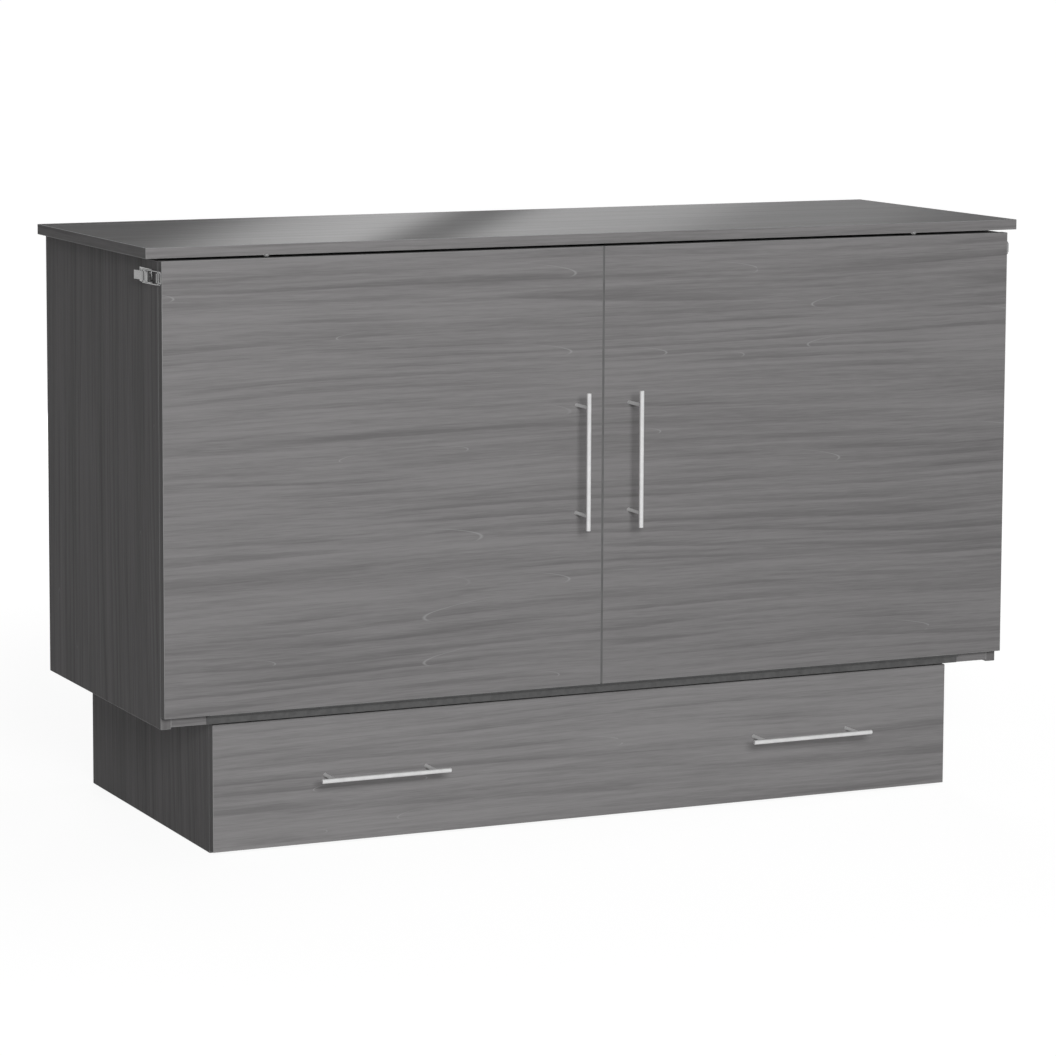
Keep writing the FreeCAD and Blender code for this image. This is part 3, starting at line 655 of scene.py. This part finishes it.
def turned(bm, start, way, profile, count):
    way = way.normalized()
    across = way.orthogonal().normalized()
    other = way.cross(across)
    rings = []
    for distance, radius in profile:
        ring = []
        for step in range(count):
            angle = 2 * math.pi * step / count
            ring.append(bm.verts.new(start + way * distance
                                     + (across * math.cos(angle) + other * math.sin(angle)) * radius))
        rings.append(ring)
    for lower, upper in zip(rings, rings[1:]):
        for step in range(count):
            after = (step + 1) % count
            bm.faces.new((lower[step], lower[after], upper[after], upper[step]))
    bm.faces.new(list(reversed(rings[0])))
    bm.faces.new(rings[-1])


def roundedRod(length, radius, ease):
    first = []
    for step in range(pullLook["endSteps"]):
        angle = math.pi / 2 * step / (pullLook["endSteps"] - 1)
        first.append((ease * (1 - math.cos(angle)), radius - ease * (1 - math.sin(angle))))
    return first + [(length - place, size) for place, size in reversed(first)]


def makePull(node, body, way, finish):
    look = pullLook
    low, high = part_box(node)
    middle = (low + high) / 2
    length = (high - low).dot(way)
    radius, post = look["barRadius"], look["postRadius"]
    axisPoint = Vector((middle.x, low.y + radius, middle.z))
    reach = high.y - axisPoint.y
    wide = post + look["collarRise"]
    bm = bmesh.new()
    turned(bm, axisPoint - way * (length / 2), way, roundedRod(length, radius, look["chamfer"]),
           look["round"])
    for sign in (-1, 1):
        foot = axisPoint + way * (sign * look["postSpacing"] / 2)
        turned(bm, foot, Vector((0, 1, 0)),
               [(0, post), (reach - look["collar"], post), (reach - look["collarEase"], wide),
                (reach, wide)], look["postRound"])
    mesh = asMesh(bm, node + "_rod")
    mesh.set_sharp_from_angle(angle=math.radians(50))
    newPiece(node + "_rod", mesh, body, [node], [finish])


for side in sides:
    makePull("front_pull_" + side, "front", Vector((0, 0, 1)), satinUpright)
    makePull("drawer_pull_" + side, "drawer", Vector((1, 0, 0)), satinLevel)
print("pulls turned")

# Slats, rivets, screws and bumpers are repeated by node trees.


def newTree(name, numbers):
    tree = bpy.data.node_groups.new(name, "GeometryNodeTree")
    tree.interface.new_socket(name="Geometry", in_out="INPUT", socket_type="NodeSocketGeometry")
    tree.interface.new_socket(name="Geometry", in_out="OUTPUT", socket_type="NodeSocketGeometry")
    for word, value in numbers.items():
        kind = "NodeSocketInt" if isinstance(value, int) else "NodeSocketFloat"
        socket = tree.interface.new_socket(name=word, in_out="INPUT", socket_type=kind)
        socket.default_value = value
    tree.interface.new_socket(name="Finish", in_out="INPUT", socket_type="NodeSocketMaterial")
    given = tree.nodes.new("NodeGroupInput")
    start = Wire(tree, given.outputs["Geometry"])
    return tree, start, {word: Wire(tree, given.outputs[word]) for word in list(numbers) + ["Finish"]}


def closeTree(start, shape, finish):
    real = start.node("GeometryNodeRealizeInstances", None, {"Geometry": shape})
    painted = start.node("GeometryNodeSetMaterial", None, {"Geometry": real, "Material": finish})
    start.node("NodeGroupOutput", None, {"Geometry": painted})


def runTree(tree, carrier, numbers, finish):
    holder = bpy.data.objects.new("holder", carrier)
    scene.collection.objects.link(holder)
    modifier = holder.modifiers.new("repeat", "NODES")
    modifier.node_group = tree
    for item in tree.interface.items_tree:
        if item.in_out == "INPUT" and item.name in numbers:
            modifier[item.identifier] = numbers[item.name]
        if item.in_out == "INPUT" and item.name == "Finish":
            modifier[item.identifier] = finish
    solved = holder.evaluated_get(bpy.context.evaluated_depsgraph_get())
    mesh = bpy.data.meshes.new_from_object(solved)
    holder.modifiers.remove(modifier)
    bpy.data.objects.remove(holder)
    return mesh


slatLook = {"count": 9, "width": 0.06, "pitch": 0.17, "corner": 0.003, "cornerPoints": 4,
            "endEase": 0.0015, "weld": 1e-6}


def slatTree():  # a row of slats with rounded long edges, along Z, spaced along X
    tree, start, word = newTree("slatRow", {
        "Count": slatLook["count"], "Pitch": slatLook["pitch"], "Width": slatLook["width"],
        "Thickness": 0.03, "Length": 0.6, "Corner": slatLook["corner"]})
    flat = start.node("GeometryNodeCurvePrimitiveQuadrilateral", None,
                      {"Width": word["Width"], "Height": word["Thickness"]})
    section = start.node("GeometryNodeFilletCurve", {"mode": "POLY"}, {
        "Curve": flat, "Radius": word["Corner"], "Count": slatLook["cornerPoints"]})
    run = start.node("GeometryNodeCurvePrimitiveLine", None, {
        "End": start.vector(0, 0, word["Length"])})
    slat = start.node("GeometryNodeCurveToMesh", None,
                      {"Curve": run, "Profile Curve": section, "Fill Caps": True})
    row = start.node("GeometryNodeMeshLine", None, {
        "Count": word["Count"], "Offset": start.vector(word["Pitch"], 0, 0),
        "Start Location": start.vector((word["Count"] - 1) * word["Pitch"] * -0.5, 0, 0)})
    many = start.node("GeometryNodeInstanceOnPoints", None, {"Points": row, "Instance": slat})
    closeTree(start, many, word["Finish"])
    return tree


slatRows = {  # body, count, way of the slats, finish
    "head_slats": ("cabinet", slatLook["count"], "y", slatLevel),
    "deck_slats_fixed": ("front", slatLook["count"], "z", slatUpright),
    "deck_slats_moving": ("foot_deck", slatLook["count"] - 1, "z", slatUpright),
}
rowTree = slatTree()
for node, (body, count, runAxis, finish) in slatRows.items():
    low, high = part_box(node)
    sizes, middle = high - low, (low + high) / 2
    length, thick = (sizes.y, sizes.z) if runAxis == "y" else (sizes.z, sizes.y)
    mesh = runTree(rowTree, bpy.data.meshes.new("point"), {
        "Count": count, "Pitch": slatLook["pitch"], "Width": slatLook["width"],
        "Thickness": thick, "Length": length, "Corner": slatLook["corner"]}, finish)
    if runAxis == "y":
        turn = Matrix.Rotation(math.radians(90), 4, "X")
        mesh.transform(Matrix.Translation((middle.x, high.y, middle.z)) @ turn)
    else:
        mesh.transform(Matrix.Translation((middle.x, middle.y, low.z)))
    bm = bmesh.new()
    bm.from_mesh(mesh)
    bmesh.ops.remove_doubles(bm, verts=bm.verts, dist=slatLook["weld"])
    easeEdges(bm, slatLook["endEase"], angle=60)
    shaped = asMesh(bm, node + "_row")
    evenShade(newPiece(node + "_row", shaped, body, [node], [finish]))
print("slat rows made:", len(slatRows))

headLook = {"screwRound": 24, "slotLength": 1.15, "slotWidth": 0.26, "slotDepth": 0.9,
            "slotLift": 0.4, "domeRound": 24, "domeRings": 10}


def headTree(name, cross):  # a screw head with a cross recess, or a domed rivet head
    look = headLook
    tree, start, word = newTree(name, {"Radius": 0.003, "Height": 0.0008})
    if cross:
        blank = start.node("GeometryNodeMeshCylinder", None, {
            "Vertices": look["screwRound"], "Radius": word["Radius"], "Depth": word["Height"]})
        long, thin = word["Radius"] * look["slotLength"], word["Radius"] * look["slotWidth"]
        deep = word["Height"] * look["slotDepth"]
        bars = [start.node("GeometryNodeMeshCube", None, {"Size": start.vector(*sizes)})
                for sizes in ((long, thin, deep), (thin, long, deep))]
        joined = start.node("GeometryNodeJoinGeometry")
        for bar in bars:
            start.tree.links.new(bar.end, joined.end.node.inputs[0])
        lifted = start.node("GeometryNodeTransform", None, {
            "Geometry": joined, "Translation": start.vector(0, 0, word["Height"] * look["slotLift"])})
        head = start.node("GeometryNodeMeshBoolean", {"operation": "DIFFERENCE"},
                          {"Mesh 1": blank, "Mesh 2": lifted})
    else:
        ball = start.node("GeometryNodeMeshUVSphere", None, {
            "Segments": look["domeRound"], "Rings": look["domeRings"], "Radius": word["Radius"]})
        head = start.node("GeometryNodeTransform", None, {
            "Geometry": ball, "Scale": start.vector(1, 1, word["Height"] / word["Radius"])})
    aim = start.node("GeometryNodeInputNamedAttribute", {"data_type": "FLOAT_VECTOR"},
                     {"Name": "aim"})
    turn = start.node("FunctionNodeAlignRotationToVector", {"axis": "Z"}, {"Vector": aim})
    many = start.node("GeometryNodeInstanceOnPoints", None, {
        "Points": start, "Instance": head, "Rotation": turn})
    closeTree(start, many, word["Finish"])
    return tree


screwHeads = headTree("screwHeads", True)
rivetHeads = headTree("rivetHeads", False)


def headsAt(name, tree, spots, sizes, finish, body, replaced=()):
    carrier = bpy.data.meshes.new(name + "Points")
    carrier.from_pydata([spot for spot, aim in spots], [], [])
    aims = carrier.attributes.new("aim", "FLOAT_VECTOR", "POINT")
    for index, (spot, aim) in enumerate(spots):
        aims.data[index].vector = aim
    mesh = runTree(tree, carrier, {"Radius": sizes["radius"], "Height": sizes["height"]}, finish)
    if "aim" in mesh.attributes:
        mesh.attributes.remove(mesh.attributes["aim"])
    mesh.shade_smooth()
    mesh.set_sharp_from_angle(angle=math.radians(35))
    mesh.materials.clear()
    return newPiece(name, mesh, body, replaced, [finish])


hingeScrews = {"spacing": 0.08, "radius": 0.0028, "height": 0.0007, "proud": 0.0003,
               "leafThick": 0.0012, "frontInset": 0.005, "lidInset": 0.012}


def alongHinge(node, y, z, aim):
    low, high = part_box(node)
    spacing = hingeScrews["spacing"]
    count = int((high.x - low.x) / spacing)
    start = (low.x + high.x) / 2 - (count - 1) * spacing / 2
    return [(Vector((start + step * spacing, y, z)), Vector(aim)) for step in range(count)]


frontLeaf, frontFlap, lidLeaf, lidFlap = (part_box(node) for node in (
    "front_hinge_leaf", "front_hinge_flap", "lid_hinge_leaf", "lid_hinge_flap"))
sunk = hingeScrews["leafThick"] - (hingeScrews["height"] / 2 - hingeScrews["proud"])
frontInset, lidInset = hingeScrews["frontInset"], hingeScrews["lidInset"]
hingeRows = {  # body, node, place across the leaf, way that the heads face
    "front_leaf_screws": ("cabinet", "front_hinge_leaf", frontLeaf[1].y - sunk,
                          frontLeaf[0].z + frontInset, (0, -1, 0)),
    "front_flap_screws": ("front", "front_hinge_flap", frontFlap[0].y + frontInset,
                          frontFlap[1].z - sunk, (0, 0, -1)),
    "lid_leaf_screws": ("cabinet", "lid_hinge_leaf", lidLeaf[0].y + lidInset,
                        lidLeaf[0].z + sunk, (0, 0, 1)),
    "lid_flap_screws": ("lid", "lid_hinge_flap", lidFlap[0].y + lidInset,
                        lidFlap[1].z - sunk, (0, 0, -1)),
}
for name, (body, node, y, z, aim) in hingeRows.items():
    headsAt(name, screwHeads, alongHinge(node, y, z, aim), hingeScrews, hingeSteel, body)

sideHeads = {  # rivets of the latch bases and screws of the keepers, on both sides
    "latch_rivets": {"piece": "latch_rivet_heads", "tree": rivetHeads, "body": "cabinet",
                     "radius": 0.002, "height": 0.0012},
    "keeper_screws": {"piece": "keeper_screw_heads", "tree": screwHeads, "body": "front",
                      "radius": 0.0022, "height": 0.0016},
}
sideHeadPlace = {"sunk": 0.0012, "inset": 0.002}
for node, facts in sideHeads.items():
    low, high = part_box(node)
    out, inset = high.x - sideHeadPlace["sunk"], sideHeadPlace["inset"]
    spots = [(Vector((sign * out, (low.y + high.y) / 2, z)), Vector((sign, 0, 0)))
             for sign in (-1, 1) for z in (low.z + inset, high.z - inset)]
    headsAt(facts["piece"], facts["tree"], spots, facts, latchNickel, facts["body"],
            [node])

slatScrews = {"radius": 0.0045, "height": 0.001, "inset": 0.03, "sunk": 0.0003}
slatPlaces = [(step - (slatLook["count"] - 1) / 2) * slatLook["pitch"]
              for step in range(slatLook["count"])]
inset, sunk = slatScrews["inset"], slatScrews["sunk"]
low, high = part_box("head_slats")
spots = [(Vector((x, y, high.z - sunk)), Vector((0, 0, 1))) for x in slatPlaces
         for y in (low.y + inset, (low.y + high.y) / 2, high.y - inset)]
headsAt("head_slat_screws", screwHeads, spots, slatScrews, screwZinc, "cabinet")
low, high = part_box("deck_slats_fixed")
spots = [(Vector((x, high.y - sunk, z)), Vector((0, 1, 0))) for x in slatPlaces
         for z in (low.z + inset, (low.z + high.z) / 2)]
headsAt("deck_slat_screws", screwHeads, spots, slatScrews, screwZinc, "front")

low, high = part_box("lid_bumpers")
bumperLook = {"radius": 0.005, "height": high.z - low.z}
spots = [(Vector((x, y, high.z)), Vector((0, 0, -1)))
         for x in (low.x + bumperLook["radius"], high.x - bumperLook["radius"])
         for y in (low.y + bumperLook["radius"], high.y - bumperLook["radius"])]
headsAt("lid_bumper_domes", rivetHeads, spots, bumperLook, clearBumper, "lid",
        ["lid_bumpers"])
print("screws, rivets and bumpers set")

# The mattress sections are filled by a cloth run.

padLook = {"cell": 0.018, "ease": 0.016, "inset": 0.004, "faceRoom": 0.003, "broad": 0.75,
           "pressure": 4.0, "quality": 5, "tension": 12, "bending": 2, "frames": 20, "cap": 0.006,
           "rowSpacing": 0.075, "rowDepth": 0.0016, "rowReach": 0.012}
pipeLook = {"radius": 0.004, "inset": 0.006, "round": 10, "cornerSteps": 6}
knitLook = {  # the stitched diamonds are pi / diamonds metres apart
    "loops": (1900.0, 2500.0), "cloud": 14.0, "fuzz": 900.0, "diamonds": 46.0, "seam": 0.5,
    "darker": 14, "paler": 4, "rough": 0.86, "shine": 0.2, "sheen": 0.3,
    "quiltHeight": 1.6, "plainHeight": 0.2, "quiltBump": 0.0012, "plainBump": 0.0004,
}


def wavy(value):
    return value.maths("SINE", value)


def knitCover(name, level, warm, quilted):
    look = knitLook
    material, wire = newFinish(name)
    spot = objectSpot(wire)
    x, y, z = parted(spot)
    across, upright = look["loops"]
    loops = wavy(x * across) * wavy(z * upright + y * upright)
    cloud = spot.grain(look["cloud"], 4.0, 0.6)
    fuzz = spot.grain(look["fuzz"], 2.0)
    figure = cloud
    if quilted:
        rising, falling = (wavy(way * look["diamonds"]) for way in (x + z, x - z))
        rising, falling = (wave.maths("ABSOLUTE", wave) for wave in (rising, falling))
        figure = rising.maths("MINIMUM", rising, falling).fade(0.0, look["seam"])
    colour = (cloud * 0.5 + loops * 0.15 + figure * 0.25).fade(0.1, 0.9).tint(
        grey(level - look["darker"], warm), grey(level + look["paler"], warm))
    kind = "quilt" if quilted else "plain"
    height = loops * 0.3 + figure * look[kind + "Height"] + fuzz * 0.4
    return finishWith(material, wire, height, 0.5, look[kind + "Bump"], {
        "Base Color": colour, "Roughness": (fuzz - 0.5) * 0.1 + look["rough"],
        "Specular IOR Level": look["shine"], "Sheen Weight": look["sheen"]})


coverKnit = knitCover("mattressCover", 226, 3.0, True)
borderKnit = knitCover("mattressBorder", 150, 1.0, False)
pipeCloth = knitCover("mattressPiping", 96, 0.0, False)


def padShell(low, high):
    sizes = high - low
    counts = [max(2, round(sizes[axis] / padLook["cell"])) for axis in range(3)]
    ease = padLook["ease"]
    bm = bmesh.new()
    spots = {}

    def corner(key):
        if key not in spots:
            place = Vector([low[a] + sizes[a] * key[a] / counts[a] for a in range(3)])
            inner = Vector([min(max(place[a], low[a] + ease), high[a] - ease) for a in range(3)])
            away = place - inner
            if away.length > 1e-9:
                place = inner + away.normalized() * ease
            spots[key] = bm.verts.new(place)
        return spots[key]

    for fixed in (2, 1, 0):
        first, second = [axis for axis in range(3) if axis != fixed]
        for i in range(counts[first]):
            for j in range(counts[second]):
                for end in (0, counts[fixed]):
                    keys = []
                    for di, dj in ((0, 0), (1, 0), (1, 1), (0, 1)):
                        key = [end] * 3
                        key[first], key[second] = i + di, j + dj
                        keys.append(tuple(key))
                    bm.faces.new([corner(key) for key in keys])
    bmesh.ops.recalc_face_normals(bm, faces=bm.faces)
    return bm


def fillPad(piece, seamVerts):  # the seams stay and the faces are blown out, up to the cap
    start = [v.co.copy() for v in piece.data.vertices]
    group = piece.vertex_groups.new(name="seam")
    group.add(seamVerts, 1.0, "REPLACE")
    cloth = piece.modifiers.new("fill", "CLOTH")
    settings = cloth.settings
    settings.quality = padLook["quality"]
    settings.use_pressure = True
    settings.uniform_pressure_force = padLook["pressure"]
    settings.effector_weights.gravity = 0
    settings.vertex_group_mass = "seam"
    settings.tension_stiffness = padLook["tension"]
    settings.bending_stiffness = padLook["bending"]
    cloth.point_cache.frame_start = 1
    cloth.point_cache.frame_end = padLook["frames"]
    for step in range(1, padLook["frames"] + 1):
        scene.frame_set(step)
    solved = piece.evaluated_get(bpy.context.evaluated_depsgraph_get())
    moved = [v.co.copy() for v in solved.data.vertices]
    piece.modifiers.remove(cloth)
    piece.vertex_groups.remove(group)
    for vertex, was, now in zip(piece.data.vertices, start, moved):
        shift = now - was
        if shift.length > padLook["cap"]:
            shift = shift.normalized() * padLook["cap"]
        vertex.co = was + shift
    scene.frame_set(1)


def makePad(node):
    low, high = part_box(node)
    inset = padLook["inset"]
    inner = Vector((inset, inset + padLook["faceRoom"], inset))
    low, high = low + inner, high - inner
    bm = padShell(low, high)
    for face in bm.faces:
        face.material_index = 0 if abs(face.normal.y) > padLook["broad"] else 1
    bm.verts.index_update()
    seams = sorted({v.index for e in bm.edges if len({f.material_index for f in e.link_faces}) == 2
                    for v in e.verts})
    mesh = asMesh(bm, node + "_pad")
    piece = newPiece(node + "_pad", mesh, "cabinet", [node],
                     [coverKnit, borderKnit])
    fillPad(piece, seams)
    for vertex in mesh.vertices:  # stitched rows across the width on both broad faces
        spot = vertex.co
        nearFront, nearBack = spot.y - low.y, high.y - spot.y
        if min(nearFront, nearBack) < padLook["rowReach"]:
            row = math.sin(math.pi * (spot.z - low.z) / padLook["rowSpacing"]) ** 2
            side = -1 if nearFront < nearBack else 1
            spot.y -= side * padLook["rowDepth"] * (1 - row) ** 3
    smooth = piece.modifiers.new("smooth", "SUBSURF")
    smooth.levels = smooth.render_levels = 1
    return low, high


def pipeAround(low, high, y):  # piping around a section's edge, a closed tube
    ease, radius = padLook["ease"], pipeLook["radius"]
    steps, around = pipeLook["cornerSteps"], pipeLook["round"]
    upright = Vector((0, 1, 0))
    ring = []
    corners = ((low.x, low.z, 180), (high.x, low.z, 270), (high.x, high.z, 0), (low.x, high.z, 90))
    for x, z, first in corners:
        middleX = x + ease if x == low.x else x - ease
        middleZ = z + ease if z == low.z else z - ease
        for step in range(steps + 1):
            angle = math.radians(first + 90 / steps * step)
            ring.append(Vector((middleX + ease * math.cos(angle), y,
                                middleZ + ease * math.sin(angle))))
    count = len(ring)
    bm = bmesh.new()
    loops = []
    for index in range(count):
        way = (ring[(index + 1) % count] - ring[index - 1]).normalized()
        out = way.cross(upright).normalized()
        turns = [2 * math.pi * step / around for step in range(around)]
        loops.append([bm.verts.new(ring[index] + (out * math.cos(turn) + upright * math.sin(turn))
                                   * radius) for turn in turns])
    for index, loop in enumerate(loops):
        after = loops[(index + 1) % count]
        for step in range(around):
            nextStep = (step + 1) % around
            bm.faces.new((loop[step], after[step], after[nextStep], loop[nextStep]))
    return bm


for node in ("mattress_foot", "mattress_middle", "mattress_head"):
    low, high = makePad(node)
    for place, y in (("front", low.y + pipeLook["inset"]), ("rear", high.y - pipeLook["inset"])):
        mesh = asMesh(pipeAround(low, high, y), node)
        newPiece("%s_piping_%s" % (node, place), mesh, "cabinet", (), [pipeCloth])
print("mattress filled")
